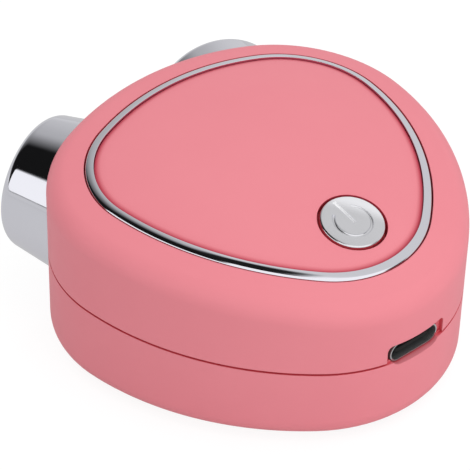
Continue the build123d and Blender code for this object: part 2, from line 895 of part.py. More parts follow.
pieces = {
    "top_shell": top_shell(),
    "bottom_shell": bottom_shell(),
    "case_screws": case_screws(),
    "screw_plugs": screw_plugs(),
    "trim_ring": trim_ring(),
    "face_plate": face_plate(),
    "power_button": power_button(),
    "button_dome": button_dome(),
    "switch_body": switch_body(),
    "switch_plunger": switch_plunger(),
    "switch_board": switch_board(),
    "switch_board_screws": switch_board_screws(),
    "roller_carrier": roller_carrier(),
    "carrier_screws": carrier_screws(),
    "usb_shell": usb_shell(),
    "usb_tongue": usb_tongue(),
    "main_board": main_board(),
    "board_screws": board_screws(),
    "controller_chip": controller_chip(),
    "charger_chip": charger_chip(),
    "boost_coil": boost_coil(),
    "board_capacitors": board_capacitors(),
    "battery": battery(),
    "battery_pad": battery_pad(),
    "battery_wire_red": battery_wire(battery_wire_x),
    "battery_wire_black": battery_wire(-battery_wire_x),
    "switch_wires": switch_wires(),
}
for side in flip:
    pieces["roller_shell_" + side] = roller_shell(side)
    pieces["roller_core_" + side] = roller_core(side)
    pieces["axle_" + side] = axle(side)
    pieces["axle_clip_" + side] = axle_clip(side)
    pieces["thrust_washer_" + side] = thrust_washer(side)
    pieces["front_bush_" + side] = front_bush(side)
    pieces["rear_bush_" + side] = rear_bush(side)
    pieces["contact_spring_" + side] = contact_spring(side)
    pieces["electrode_wire_" + side] = electrode_wire(side)

# Turn the base level and put the origin under the middle of the device.
level = Location((0, 0, seam_height), (rake, 0, 0))
outer = ("bottom_shell", "top_shell", "roller_shell_right")
outer_boxes = [(level * pieces[name]).bounding_box() for name in outer]
low_y = min(box.min.Y for box in outer_boxes)
high_y = max(box.max.Y for box in outer_boxes)
to_table = Pos(0, -(low_y + high_y) / 2, 0) * level

os.makedirs("parts", exist_ok=True)
for name, shape in pieces.items():
    solids = shape if isinstance(shape, list) else [shape]
    moved = [to_table * solid for solid in solids]
    export_step(Compound(moved) if len(moved) > 1 else moved[0], "parts/" + name + ".step")

# Places that other things are set by, in the finished frame.
for side in flip:
    axis = to_table * roller_place(side).location
    print("roller", side, "point", axis.position, "direction", Plane(axis).z_dir)
middle = to_table * button.location
print("button point", middle.position, "normal", Plane(middle).z_dir)
socket = to_table * Pos(0, socket_front, socket_z)
print("socket rim", socket.position, "case y", low_y - (low_y + high_y) / 2, high_y - (low_y + high_y) / 2)
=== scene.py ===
from math import atan2, cos, pi, radians, sin, sqrt, tan

import bpy
from mathutils import Matrix, Vector


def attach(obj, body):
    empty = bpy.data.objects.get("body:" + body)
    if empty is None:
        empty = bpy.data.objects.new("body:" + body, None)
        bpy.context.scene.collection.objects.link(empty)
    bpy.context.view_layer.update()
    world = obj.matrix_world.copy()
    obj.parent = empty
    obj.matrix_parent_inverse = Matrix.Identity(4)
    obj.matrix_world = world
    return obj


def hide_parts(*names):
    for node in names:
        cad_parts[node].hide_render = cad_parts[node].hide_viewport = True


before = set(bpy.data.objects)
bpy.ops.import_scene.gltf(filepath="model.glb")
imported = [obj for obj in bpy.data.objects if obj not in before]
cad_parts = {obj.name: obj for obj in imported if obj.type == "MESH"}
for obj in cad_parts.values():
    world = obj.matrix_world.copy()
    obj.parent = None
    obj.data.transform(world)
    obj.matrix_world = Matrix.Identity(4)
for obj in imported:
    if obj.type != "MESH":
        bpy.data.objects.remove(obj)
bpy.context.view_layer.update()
bpy.ops.object.select_all(action="DESELECT")
print("frame loaded")

mm = 0.001

# the case was drawn on its parting plane and then raked,
# so its pieces are made there and turned to the table
caseFrame = {
    "rake": 3.0,                # degrees
    "shiftY": 7.1735 * mm,
    "seamHeight": 14.8 * mm,
}
toTable = (Matrix.Translation((0, caseFrame["shiftY"], caseFrame["seamHeight"]))
           @ Matrix.Rotation(radians(caseFrame["rake"]), 4, "X"))

# the case seen from above: three corner circles joined by three larger arcs, with a domed top
plan = {
    "tail": (0, -18.85 * mm, 21.78 * mm),         # x, y, radius
    "shoulder": (10.0 * mm, -2.85 * mm, 20.26 * mm),
    "side": 45.25 * mm,
    "front": 49.4 * mm,
    "crown": (-1.9 * mm, 16.73 * mm, 107.7 * mm),   # y, top, radius
    "fewestSteps": 6,           # in any one arc
}

# points nearer than this become one
nearness = {
    "shell": 0.001 * mm,
    "swept": 0.002 * mm,
    "spun": 0.0001 * mm,
}


# materials

patterns = {
    "clouds": 60,               # scale of the slow change of colour
    "cloudStops": (0.3, 0.7),   # where the darker colour ends and the lighter one begins
    "smears": 400,              # scale of the change of gloss
    "smearStops": (0.25, 0.75),
    "smear": 0.04,              # how far the roughness strays, either way
    "detail": 3.0,
    "grainDetail": 2.0,
    "layering": 0.55,           # strength of each finer layer of noise
    "cavitySamples": 8,
    "roundingSamples": 6,
}


def partsOf(material):
    nodes = material.node_tree.nodes
    return nodes, material.node_tree.links, nodes["Principled BSDF"]


def newMaterial(name):
    material = bpy.data.materials.new(name)
    material.use_nodes = True
    return material, *partsOf(material)


def whereOn(nodes):
    # object coordinates
    return nodes.new("ShaderNodeTexCoord").outputs["Object"]


def noise(nodes, links, vector, scale, detail=patterns["detail"]):
    texture = nodes.new("ShaderNodeTexNoise")
    texture.inputs["Scale"].default_value = scale
    texture.inputs["Detail"].default_value = detail
    texture.inputs["Roughness"].default_value = patterns["layering"]
    links.new(vector, texture.inputs["Vector"])
    return texture.outputs["Fac"]


def ranged(nodes, links, value, start, end, low=0.0, high=1.0, smooth=False):
    # what runs from start to end made to run from low to high
    node = nodes.new("ShaderNodeMapRange")
    if smooth:
        node.interpolation_type = "SMOOTHSTEP"
    node.inputs["From Min"].default_value = start
    node.inputs["From Max"].default_value = end
    node.inputs["To Min"].default_value = low
    node.inputs["To Max"].default_value = high
    links.new(value, node.inputs["Value"])
    return node.outputs["Result"]


def worked(nodes, links, operation, *values):
    # a Math node on sockets and plain numbers
    node = nodes.new("ShaderNodeMath")
    node.operation = operation
    for socket, value in zip(node.inputs, values):
        if isinstance(value, float):
            socket.default_value = value
        else:
            links.new(value, socket)
    return node.outputs[0]


def vectorWorked(nodes, links, operation, vector, other=None):
    # a Vector Math node on a socket and a plain vector
    node = nodes.new("ShaderNodeVectorMath")
    node.operation = operation
    links.new(vector, node.inputs[0])
    if other is not None:
        node.inputs[1].default_value = other
    return node.outputs["Value" if operation in ("DISTANCE", "DOT_PRODUCT") else "Vector"]


def mixed(nodes, links, factor, one, other):
    # two colours, each a plain one or a socket, mixed
    node = nodes.new("ShaderNodeMix")
    node.data_type = "RGBA"
    links.new(factor, node.inputs["Factor"])
    # its colour sockets bear the same names as those for numbers, so they go by their place
    for socket, colour in ((node.inputs[6], one), (node.inputs[7], other)):
        if isinstance(colour, tuple):
            socket.default_value = colour
        else:
            links.new(colour, socket)
    return node.outputs[2]


def tint(nodes, links, value, dark, light):
    ramp = nodes.new("ShaderNodeValToRGB")
    for stop, position, colour in zip(ramp.color_ramp.elements, patterns["cloudStops"],
                                      (dark, light)):
        stop.position = position
        stop.color = (*colour, 1)
    links.new(value, ramp.inputs["Fac"])
    return ramp.outputs["Color"]


def bump(nodes, links, value, shader, strength, distance, rounding=0.0):
    node = nodes.new("ShaderNodeBump")
    node.inputs["Strength"].default_value = strength
    node.inputs["Distance"].default_value = distance
    links.new(value, node.inputs["Height"])
    if rounding:
        soft = nodes.new("ShaderNodeBevel")
        soft.samples = patterns["roundingSamples"]
        soft.inputs["Radius"].default_value = rounding
        links.new(soft.outputs["Normal"], node.inputs["Normal"])
    links.new(node.outputs["Normal"], shader.inputs["Normal"])


def grainy(name, dark, light, roughness, grain=2500, strength=0.25, depth=0.02 * mm,
           metallic=0.0, rounding=0.0, sheen=0.5):
    # a moulded, painted or cast surface with a fine grain
    material, nodes, links, shader = newMaterial(name)
    vector = whereOn(nodes)
    shader.inputs["Metallic"].default_value = metallic
    shader.inputs["Specular IOR Level"].default_value = sheen
    clouds = noise(nodes, links, vector, patterns["clouds"])
    links.new(tint(nodes, links, clouds, dark, light), shader.inputs["Base Color"])
    smears = noise(nodes, links, vector, patterns["smears"])
    gloss = ranged(nodes, links, smears, *patterns["smearStops"],
                   roughness - patterns["smear"], roughness + patterns["smear"])
    links.new(gloss, shader.inputs["Roughness"])
    grains = noise(nodes, links, vector, grain, patterns["grainDetail"])
    bump(nodes, links, grains, shader, strength, depth, rounding)
    return material


def metal(name, dark, light, roughness, grain, strength, depth=0.01 * mm):
    return grainy(name, dark, light, roughness, grain, strength, depth, metallic=1.0)


def paintedCavityShade(material, colour, reach, closed, clear, shineOffInShade=False):
    # painted shade: a deeper colour down in gaps and grooves, found by ambient occlusion, and on
    # metal that asks for it, no shine there either
    nodes, links, shader = partsOf(material)
    cavity = nodes.new("ShaderNodeAmbientOcclusion")
    cavity.samples = patterns["cavitySamples"]
    cavity.inputs["Distance"].default_value = reach
    openness = ranged(nodes, links, cavity.outputs["AO"], closed, clear)
    base = shader.inputs["Base Color"]
    links.new(mixed(nodes, links, openness, (*colour, 1), base.links[0].from_socket), base)
    if shineOffInShade:
        links.new(openness, shader.inputs["Metallic"])


# each: name, darker and lighter colour, roughness, then the grain's scale, strength and depth
pinks = ((0.81, 0.24, 0.283), (0.825, 0.25, 0.293))
softPink = grainy("soft_touch_pink", *pinks, 0.5, 3500, 0.12, rounding=0.2 * mm, sheen=0.3)
# painted shade down in the case's seam, gaps and grooves
paintedCavityShade(softPink, (0.68, 0.07, 0.095), 1.6 * mm, 0.45, 0.88)
platePink = grainy("plate_pink", *pinks, 0.5, 3500, 0.12, rounding=0.1 * mm, sheen=0.3)
# painted shade down in the plate's gaps by the ring and the button
paintedCavityShade(platePink, (0.66, 0.07, 0.10), 2.4 * mm, 0.7, 1.0)

chrome = metal("bright_chrome", (0.84, 0.84, 0.905), (0.86, 0.86, 0.925), 0.06, 900, 0.03)
satin = metal("satin_metal", (0.80, 0.80, 0.83), (0.86, 0.86, 0.89), 0.17, 4000, 0.1)
steel = metal("zinc_steel", (0.5, 0.5, 0.51), (0.6, 0.6, 0.61), 0.3, 2500, 0.2)
drawnSteel = metal("drawn_steel", (0.6, 0.6, 0.61), (0.68, 0.68, 0.69), 0.2, 3000, 0.15)
# painted shade inside the socket's shell, where its metal loses its shine
paintedCavityShade(drawnSteel, (0.08, 0.085, 0.085), 3.0 * mm, 0.5, 0.8, shineOffInShade=True)
bronze = metal("sintered_bronze", (0.42, 0.26, 0.11), (0.5, 0.33, 0.15), 0.4, 3500, 0.5,
               0.03 * mm)
springBrass = metal("spring_brass", (0.6, 0.42, 0.16), (0.68, 0.5, 0.2), 0.25, 2500, 0.2)
# a near-white, barely metallic painted highlight for the floor of the symbol's bar
barHighlight = grainy("painted_bar_highlight", (0.9, 0.9, 0.92), (0.94, 0.94, 0.96), 0.3, 2500, 0.05,
                   0.01 * mm, metallic=0.25)
copperWinding = grainy("copper_winding", (0.35, 0.12, 0.045), (0.45, 0.17, 0.06), 0.35, 3000,
                       0.3, metallic=0.8)
foil = grainy("pouch_foil", (0.5, 0.5, 0.51), (0.6, 0.6, 0.61), 0.35, 700, 0.4, 0.05 * mm,
              metallic=0.9)

whitePlastic = grainy("white_nylon", (0.7, 0.7, 0.68), (0.76, 0.76, 0.74), 0.45)
blackPlastic = grainy("black_moulding", (0.012, 0.012, 0.013), (0.02, 0.02, 0.021), 0.45)
tonguePlastic = grainy("tongue_moulding", (0.018, 0.019, 0.019), (0.026, 0.027, 0.027), 0.7,
                       sheen=0.08)
boardGreen = grainy("solder_resist", (0.004, 0.06, 0.02), (0.008, 0.085, 0.03), 0.3, 1500)
ceramic = grainy("fired_ceramic", (0.22, 0.13, 0.06), (0.3, 0.19, 0.1), 0.4)
foam = grainy("grey_foam", (0.08, 0.08, 0.08), (0.13, 0.13, 0.13), 0.9, 2500, 0.9, 0.1 * mm)
silicone = grainy("milky_silicone", (0.55, 0.55, 0.53), (0.62, 0.62, 0.6), 0.4, 2000)
redWire = grainy("red_insulation", (0.3, 0.005, 0.005), (0.38, 0.01, 0.01), 0.4)
blackWire = grainy("black_insulation", (0.01, 0.01, 0.01), (0.016, 0.016, 0.016), 0.4)
whiteWire = grainy("white_insulation", (0.6, 0.6, 0.58), (0.68, 0.68, 0.66), 0.4)
print("materials made")

finishes = {
    "top_shell": softPink, "bottom_shell": softPink, "screw_plugs": softPink,
    "face_plate": platePink, "trim_ring": chrome, "power_button": satin,
    "button_dome": silicone, "switch_body": blackPlastic, "switch_plunger": blackPlastic,
    "case_screws": steel, "carrier_screws": steel, "board_screws": steel,
    "switch_board_screws": steel, "roller_carrier": blackPlastic,
    "usb_shell": drawnSteel, "usb_tongue": tonguePlastic,
    "switch_board": boardGreen, "main_board": boardGreen,
    "controller_chip": blackPlastic, "charger_chip": blackPlastic,
    "boost_coil": copperWinding, "board_capacitors": ceramic,
    "battery": foil, "battery_pad": foam,
    "battery_wire_red": redWire, "battery_wire_black": blackWire, "switch_wires": whiteWire,
}
for side in ("left", "right"):
    finishes["roller_shell_" + side] = chrome
    finishes["roller_core_" + side] = whitePlastic
    finishes["axle_" + side] = steel
    finishes["axle_clip_" + side] = steel
    finishes["thrust_washer_" + side] = steel
    finishes["front_bush_" + side] = bronze
    finishes["rear_bush_" + side] = bronze
    finishes["contact_spring_" + side] = springBrass
    finishes["electrode_wire_" + side] = whiteWire
for name, material in finishes.items():
    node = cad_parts[name]
    node.data.materials.clear()
    node.data.materials.append(material)


# the two halves of the case
shells = {
    "sharpAngle": 25,           # degrees; an edge that turns more stays sharp
}


def mergedCopy(name, node, body):
    # a node's own shape with its faces joined and shaded smooth
    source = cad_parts[node]
    piece = bpy.data.objects.new(name, source.data.copy())
    bpy.context.collection.objects.link(piece)
    bpy.context.view_layer.objects.active = piece
    piece.select_set(True)
    bpy.ops.object.mode_set(mode="EDIT")
    bpy.ops.mesh.select_all(action="SELECT")
    bpy.ops.mesh.remove_doubles(threshold=nearness["shell"])
    bpy.ops.mesh.customdata_custom_splitnormals_clear()
    bpy.ops.object.mode_set(mode="OBJECT")
    bpy.ops.object.shade_smooth_by_angle(angle=radians(shells["sharpAngle"]))
    piece.select_set(False)
    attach(piece, body)
    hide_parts(node)
    return piece


for node in ("top_shell", "bottom_shell"):
    mergedCopy(node + "_smooth", node, "case")
print("shells made")


# making shapes

def traced(name, points):
    # a row of points pulled out of one corner
    bpy.ops.object.select_all(action="DESELECT")
    bpy.ops.mesh.primitive_plane_add(size=mm, location=points[0])
    piece = bpy.context.object
    piece.name = name
    bpy.ops.object.mode_set(mode="EDIT")
    bpy.ops.mesh.merge(type="CENTER")
    for here, there in zip(points, points[1:]):
        bpy.ops.mesh.extrude_region_move(TRANSFORM_OT_translate={"value": there - here})
    bpy.ops.mesh.select_all(action="SELECT")
    return piece


def closeUp(piece, sharpAngle):
    # seams joined, faces turned outwards, object at the origin, smooth but for sharp edges
    bpy.ops.mesh.select_all(action="SELECT")
    bpy.ops.mesh.remove_doubles(threshold=nearness["swept"])
    bpy.ops.mesh.normals_make_consistent(inside=False)
    bpy.ops.object.mode_set(mode="OBJECT")
    bpy.ops.object.transform_apply(location=True, rotation=True, scale=True)
    bpy.ops.object.shade_smooth_by_angle(angle=radians(sharpAngle))


def cutBy(piece, cutter):
    # the cutter's shape taken out of a piece
    bpy.ops.object.select_all(action="DESELECT")
    bpy.context.view_layer.objects.active = piece
    piece.select_set(True)
    cut = piece.modifiers.new("cut", "BOOLEAN")
    cut.operation = "DIFFERENCE"
    cut.solver = "EXACT"
    cut.object = cutter
    bpy.ops.object.modifier_apply(modifier="cut")
    bpy.data.objects.remove(cutter, do_unlink=True)


def spun(name, points, centre, axis, steps, sharpAngle):
    # a row of points turned once round an axis
    piece = traced(name, points)
    bpy.ops.mesh.spin(steps=steps, angle=2 * pi, center=centre, axis=axis)
    bpy.ops.mesh.select_all(action="SELECT")
    bpy.ops.mesh.remove_doubles(threshold=nearness["spun"])
    bpy.ops.mesh.fill_holes(sides=0)
    closeUp(piece, sharpAngle)
    return piece


# round the case

def bigCentre(a, b, radius):
    # centre of the large arc that holds two corner circles and touches both
    reachA, reachB = radius - a[2], radius - b[2]
    step = Vector((b[0] - a[0], b[1] - a[1], 0))
    along = (reachA ** 2 - reachB ** 2 + step.length ** 2) / (2 * step.length)
    across = sqrt(reachA ** 2 - along ** 2)
    unit = step.normalized()
    return Vector((a[0], a[1], 0)) + unit * along + Vector((-unit.y, unit.x, 0)) * across


tail, right = plan["tail"], plan["shoulder"]
left = (-right[0], right[1], right[2])
middles = {
    "tail": Vector((*tail[:2], 0)),
    "right": Vector((*right[:2], 0)),
    "left": Vector((*left[:2], 0)),
    "side": bigCentre(tail, right, plan["side"]),
    "front": bigCentre(right, left, plan["front"]),
}
middles["otherSide"] = Vector((-middles["side"].x, middles["side"].y, 0))
# directions in which one arc passes into the next
joints = [(middles[a] - middles[b]).normalized() for a, b in (
    ("tail", "side"), ("right", "side"), ("right", "front"),
    ("left", "front"), ("left", "otherSide"), ("tail", "otherSide"))]
# the arcs in the order in which they are swept, and how finely each is stepped
turns = {"side": 2, "right": 1, "front": 2, "left": 1, "otherSide": 2, "tail": 1}


def roundCase(name, section, stepsPerTurn):
    # a section of (inset, height) points taken all the way round the case's outline
    points = [middles["tail"] + joints[0] * (tail[2] - inset) + Vector((0, 0, height))
              for inset, height in section]
    piece = traced(name, points)
    for i, (arc, fineness) in enumerate(turns.items()):
        start, end = joints[i], joints[(i + 1) % len(joints)]
        angle = atan2(start.x * end.y - start.y * end.x, start.x * end.x + start.y * end.y)
        steps = round(stepsPerTurn * abs(angle) / (2 * pi) * fineness)
        bpy.ops.mesh.spin(steps=max(plan["fewestSteps"], steps), angle=-angle,
                          center=middles[arc], axis=(0, 0, 1))
    return piece


def layOnCrown(piece):
    # heights over a flat sheet become heights over the domed top, then the case's rake
    along, top, radius = plan["crown"]
    for vertex in piece.data.vertices:
        x, y = vertex.co.x, vertex.co.y - along
        vertex.co.z += top - radius + sqrt(radius ** 2 - x ** 2 - y ** 2)
    piece.data.transform(toTable)


# trim ring: a bead, nearly flat inside and rolled over outside
ring = {
    "outer": 5.58 * mm,         # inset of its outer wall
    "inner": 6.82 * mm,
    "top": 0.19 * mm,           # over the crown
    "foot": -1.6 * mm,
    "lean": 4,                  # degrees, of the top at its inner edge
    "slope": 12,                # and where the outer rounding begins
    "roundOut": 0.42 * mm,
    "roundIn": 0.06 * mm,
    "steps": 260,               # round the case
    "topSteps": 12,
    "roundOutSteps": 12,
    "roundInSteps": 6,
    "sharpAngle": 40,           # degrees
}


def ringSection():
    # over the top from inside, down the outer wall, and up the inner one
    outer, inner, roundOut, roundIn = (ring[k] for k in ("outer", "inner", "roundOut", "roundIn"))
    lean, slope = radians(ring["lean"]), radians(ring["slope"])
    topWidth = inner - outer - roundOut * (1 - sin(slope)) - roundIn
    bend = topWidth / (sin(lean) + sin(slope))
    apex = inner - roundIn - bend * sin(lean)
    points = []
    for i in range(ring["topSteps"] + 1):
        turn = radians(-ring["lean"] + (ring["lean"] + ring["slope"]) * i / ring["topSteps"])
        points.append((apex - bend * sin(turn), ring["top"] - bend * (1 - cos(turn))))
    innerEdge, outerEdge = points[0], points[-1]
    inset = outerEdge[0] + roundOut * sin(slope)
    height = outerEdge[1] - roundOut * cos(slope)
    for i in range(1, ring["roundOutSteps"] + 1):
        turn = slope + (pi / 2 - slope) * i / ring["roundOutSteps"]
        points.append((inset - roundOut * sin(turn), height + roundOut * cos(turn)))
    points.append((points[-1][0], ring["foot"]))
    points.append((inner, ring["foot"]))
    inset = innerEdge[0] - roundIn * sin(lean)
    height = innerEdge[1] - roundIn * cos(lean)
    for i in range(ring["roundInSteps"]):
        turn = pi / 2 - (pi / 2 - lean) * i / ring["roundInSteps"]
        points.append((inset + roundIn * sin(turn), height + roundIn * cos(turn)))
    return points + [innerEdge]


piece = roundCase("trim_bead", ringSection(), ring["steps"])
closeUp(piece, ring["sharpAngle"])
layOnCrown(piece)
piece.data.materials.append(chrome)
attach(piece, "case")
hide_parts("trim_ring")

# face plate: its edge rolls down to the ring, and the button's hole is cut through it
plate = {
    "edge": 6.88 * mm,          # inset
    "roll": (2.1 * mm, 0.24 * mm),    # width, depth
    "rollSteps": 12,
    "land": 0.05 * mm,          # straight edge under the roll
    "rollShadeDepths": (0.04 * mm, 0.13 * mm),    # how low the roll's painted shade begins and is full
    "rollShadeColour": (0.52, 0.055, 0.09, 1),
    "rollShadeShare": 0.85,          # of that painted shade where it is full
    "thickness": 1.6 * mm,
    "inside": 17.5 * mm,        # inset where the bands end
    "bands": (10.0 * mm, 13.0 * mm, 15.5 * mm),
    "middle": (0, -10.2 * mm, 0),
    "shares": (0.66, 0.5),      # each band inside that, of the last one's size
    "level": 0.1 * mm,          # how near in height a point belongs to an open loop
    "steps": 260,               # round the case
    "sharpAngle": 25,           # degrees
    "drill": 8 * mm,            # length of what cuts the button's hole
}
button = {
    "point": (0, -19.8195 * mm, 27.3341 * mm),
    "normal": (0, -0.27722, 0.960807),
    "radius": 4.65 * mm,
    "gap": 0.4 * mm,            # to the plate
    "proud": 0.35 * mm,
    "sag": 0.24 * mm,           # fall of the face to its rim
    "rim": 0.28 * mm,
    "flange": (5.57 * mm, -1.85 * mm, -2.65 * mm),   # radius, top, foot
    "stem": (1.6 * mm, -5.85 * mm),     # radius, foot
    "metalDepth": -0.9 * mm,    # the moulded foot begins below this
    "highlightTowards": (0.8, 0.6, 0),
    "highlightReach": (0.2, 0.75, 0.25),  # where the painted highlight begins and is full, in radii; how metallic there
    "steps": 160,
    "faceSteps": 14,
    "rimSteps": 8,
    "sharpAngle": 30,           # degrees
}


def plateSection():
    # out along the underside, up the edge, over the roll and in along the top
    width, depth = plate["roll"]
    edge = plate["edge"]
    points = [(plate["inside"], -plate["thickness"]), (edge, -plate["thickness"]),
              (edge, -depth - plate["land"])]
    for i in range(plate["rollSteps"] + 1):
        turn = pi / 2 * i / plate["rollSteps"]
        points.append((edge + width * (1 - cos(turn)), -depth * (1 - sin(turn))))
    return points + [(inset, 0) for inset in (*plate["bands"], plate["inside"])]


def closeMiddle(piece, height):
    # the open loop at one height drawn in, band by band, and closed
    bpy.ops.mesh.select_all(action="SELECT")
    bpy.ops.mesh.region_to_loop()
    bpy.ops.object.mode_set(mode="OBJECT")
    for vertex in piece.data.vertices:
        away = abs((piece.matrix_world @ vertex.co).z - height)
        vertex.select = vertex.select and away < plate["level"]
    for edge in piece.data.edges:
        edge.select = all(piece.data.vertices[v].select for v in edge.vertices)
    bpy.ops.object.mode_set(mode="EDIT")
    for share in plate["shares"]:
        bpy.ops.mesh.extrude_edges_move()
        bpy.ops.transform.resize(value=(share, share, 1), center_override=plate["middle"])
    bpy.ops.mesh.extrude_edges_move()
    bpy.ops.mesh.merge(type="CENTER")


piece = roundCase("domed_plate", plateSection(), plate["steps"])
bpy.ops.mesh.select_all(action="SELECT")
bpy.ops.mesh.remove_doubles(threshold=nearness["swept"])
for height in (0, -plate["thickness"]):
    closeMiddle(piece, height)
closeUp(piece, plate["sharpAngle"])
layOnCrown(piece)
axis = Vector(button["normal"]).normalized()
bpy.ops.object.select_all(action="DESELECT")
bpy.ops.mesh.primitive_cylinder_add(
    vertices=button["steps"], radius=button["radius"] + button["gap"], depth=plate["drill"],
    location=button["point"], rotation=axis.to_track_quat("Z", "Y").to_euler())
cutBy(piece, bpy.context.object)
bpy.ops.object.shade_smooth_by_angle(angle=radians(plate["sharpAngle"]))

# painted shade: a deeper pink down the roll, by the distance from the middle of the crown's ball
nodes, links, shader = partsOf(platePink)
crownY, crownTop, crownRadius = plan["crown"]
ballMiddle = toTable @ Vector((0, crownY, crownTop - crownRadius))
distance = vectorWorked(nodes, links, "DISTANCE", whereOn(nodes), ballMiddle)
rolled = ranged(nodes, links, distance, crownRadius - plate["rollShadeDepths"][0],
                crownRadius - plate["rollShadeDepths"][1], high=plate["rollShadeShare"])
base = shader.inputs["Base Color"]
links.new(mixed(nodes, links, rolled, base.links[0].from_socket, plate["rollShadeColour"]), base)
piece.data.materials.clear()
piece.data.materials.append(platePink)
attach(piece, "case")
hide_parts("face_plate")
print("ring and plate made")

# button, with the open ring and the bar of its symbol cut into the face
symbol = {
    "reach": 2.72 * mm,         # radius of the ring
    "opening": 72,              # degrees
    "bar": (-0.42 * mm, 3.8 * mm),      # its ends, from the button's middle
    "half": 0.24 * mm,          # half the width of a groove
    "sunk": 0.3,                # how far its middle lies under the top of the face, of the sag
    "ringSides": 16,
    "ringSteps": 61,
    "barSides": 18,
    "barTurn": 7,               # degrees
    "easing": 0.4,              # bevel at the bar's ends, of half its width
    "easingSteps": 2,
    "easingAngle": 60,          # degrees; edges that turn less are left
    "floor": 0.98,              # part of the bar's width that takes the painted highlight
}


def buttonProfile():
    # (distance from the axis, height) out over the face and rim, and down to the stem's foot
    radius, proud, sag, rim = (button[k] for k in ("radius", "proud", "sag", "rim"))
    faceEdge = radius - rim
    ball = (faceEdge ** 2 + sag ** 2) / (2 * sag)
    profile = []
    for i in range(1, button["faceSteps"] + 1):
        share = i / button["faceSteps"]
        profile.append((faceEdge * i / button["faceSteps"], proud - sag * share ** 2))
    start = faceEdge / ball
    for i in range(1, button["rimSteps"] + 1):
        turn = start + (pi / 2 - start) * i / button["rimSteps"]
        profile.append((faceEdge + rim * (sin(turn) - sin(start)) / (1 - sin(start)),
                        proud - sag - rim * (cos(start) - cos(turn))))
    flangeRadius, flangeTop, flangeFoot = button["flange"]
    stemRadius, stemFoot = button["stem"]
    return profile + [(radius, flangeTop), (flangeRadius, flangeTop), (flangeRadius, flangeFoot),
                      (stemRadius, flangeFoot), (stemRadius, stemFoot), (0, stemFoot)]


centre = Vector(button["point"])
across = Vector((1, 0, 0))
forward = axis.cross(across).normalized()
points = [centre + across * r + axis * h for r, h in buttonProfile()]
piece = spun("power_cap", points, centre, axis, button["steps"], button["sharpAngle"])

half = symbol["half"]
low = button["proud"] - button["sag"] * symbol["sunk"]
# the open ring, a bent rod
start = radians(symbol["opening"] / 2)
outwards = forward * cos(start) + across * sin(start)
side = outwards.normalized()
bpy.ops.object.select_all(action="DESELECT")
bpy.ops.mesh.primitive_circle_add(vertices=symbol["ringSides"], radius=half, fill_type="NGON")
cutter = bpy.context.object
cutter.matrix_world = (Matrix.Translation(centre + axis * low + outwards * symbol["reach"])
                       @ Matrix((side, axis, side.cross(axis))).transposed().to_4x4())
bpy.ops.object.transform_apply(location=True, rotation=True, scale=True)
bpy.ops.object.mode_set(mode="EDIT")
bpy.ops.mesh.select_all(action="SELECT")
bpy.ops.mesh.spin(steps=symbol["ringSteps"], angle=radians(360 - symbol["opening"]),
                  center=centre + axis * low, axis=axis)
bpy.ops.mesh.select_all(action="SELECT")
bpy.ops.mesh.normals_make_consistent(inside=False)
bpy.ops.object.mode_set(mode="OBJECT")
cutBy(piece, cutter)
# the bar, a straight rod with eased ends
start, end = symbol["bar"]
bpy.ops.object.select_all(action="DESELECT")
bpy.ops.mesh.primitive_cylinder_add(vertices=symbol["barSides"], radius=half,
                                    depth=end - start, end_fill_type="NGON")
cutter = bpy.context.object
bpy.ops.object.mode_set(mode="EDIT")
bpy.ops.mesh.select_all(action="SELECT")
bpy.ops.transform.rotate(value=radians(symbol["barTurn"]), orient_axis="Z",
                         center_override=(0, 0, 0))
bpy.ops.object.mode_set(mode="OBJECT")
eased = cutter.modifiers.new("eased", "BEVEL")
eased.width = half * symbol["easing"]
eased.segments = symbol["easingSteps"]
eased.limit_method = "ANGLE"
eased.angle_limit = radians(symbol["easingAngle"])
bpy.ops.object.modifier_apply(modifier=eased.name)
cutter.matrix_world = (Matrix.Translation(centre + axis * low + forward * (start + end) / 2)
                       @ forward.to_track_quat("Z", "Y").to_matrix().to_4x4())
cutBy(piece, cutter)
bpy.ops.object.shade_smooth_by_angle(angle=radians(button["sharpAngle"]))

# satin metal with a painted highlight: less metallic, so lighter, towards one side
capSatin = satin.copy()
capSatin.name = "button_satin"
nodes, links, shader = partsOf(capSatin)
begins, full, highlightMetallic = button["highlightReach"]
middleAlong = Vector(button["highlightTowards"]).dot(centre)
along = vectorWorked(nodes, links, "DOT_PRODUCT", whereOn(nodes), button["highlightTowards"])
paintedHighlight = ranged(nodes, links, along, middleAlong + begins * button["radius"],
               middleAlong + full * button["radius"], 1.0, highlightMetallic, smooth=True)
links.new(paintedHighlight, shader.inputs["Metallic"])
piece.data.materials.clear()
for material in (capSatin, softPink, barHighlight):
    piece.data.materials.append(material)
for polygon in piece.data.polygons:
    offset = polygon.center - centre
    inBar = (abs(offset.x) < half * symbol["floor"]
             and start - half < offset.dot(forward) < end + half)
    if offset.dot(axis) < button["metalDepth"]:
        polygon.material_index = 1
    # the bar's floor takes the near-white painted highlight
    elif inBar and offset.dot(axis) < low:
        polygon.material_index = 2
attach(piece, "button")
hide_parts("power_button")
print("button made")

# rollers
roller = {
    "point": (13.37 * mm, 18.7676 * mm, 15.4076 * mm),    # right axis, level with the seam
    "axis": (0.324743, 0.944506, 0.049499),
    "tipRadius": 10.21 * mm,
    "taper": 9.27,              # degrees, wider towards the case
    "tip": 12.61 * mm,          # along the axis
    "openEnd": 2.5 * mm,
    "rounding": 2.2 * mm,
    "bulge": 0.83 * mm,
    "skin": 1.2 * mm,
    "lip": (0.12 * mm, 0.4),    # easing of the open end, and where its bend lies in it
    "wall": (0.03, 0.1, 0.3, 0.6, 0.9, 0.985),    # where the wall's bands end
    "steps": 192,
    "bulgeSteps": 12,
    "roundingSteps": 16,
    "sharpAngle": 30,           # degrees
    "halvings": 60,             # of the search for the rounding's middle
}


def coneRadius(along, skin=0.0):
    taper = radians(roller["taper"])
    return roller["tipRadius"] + tan(taper) * (roller["tip"] - along) - skin / cos(taper)


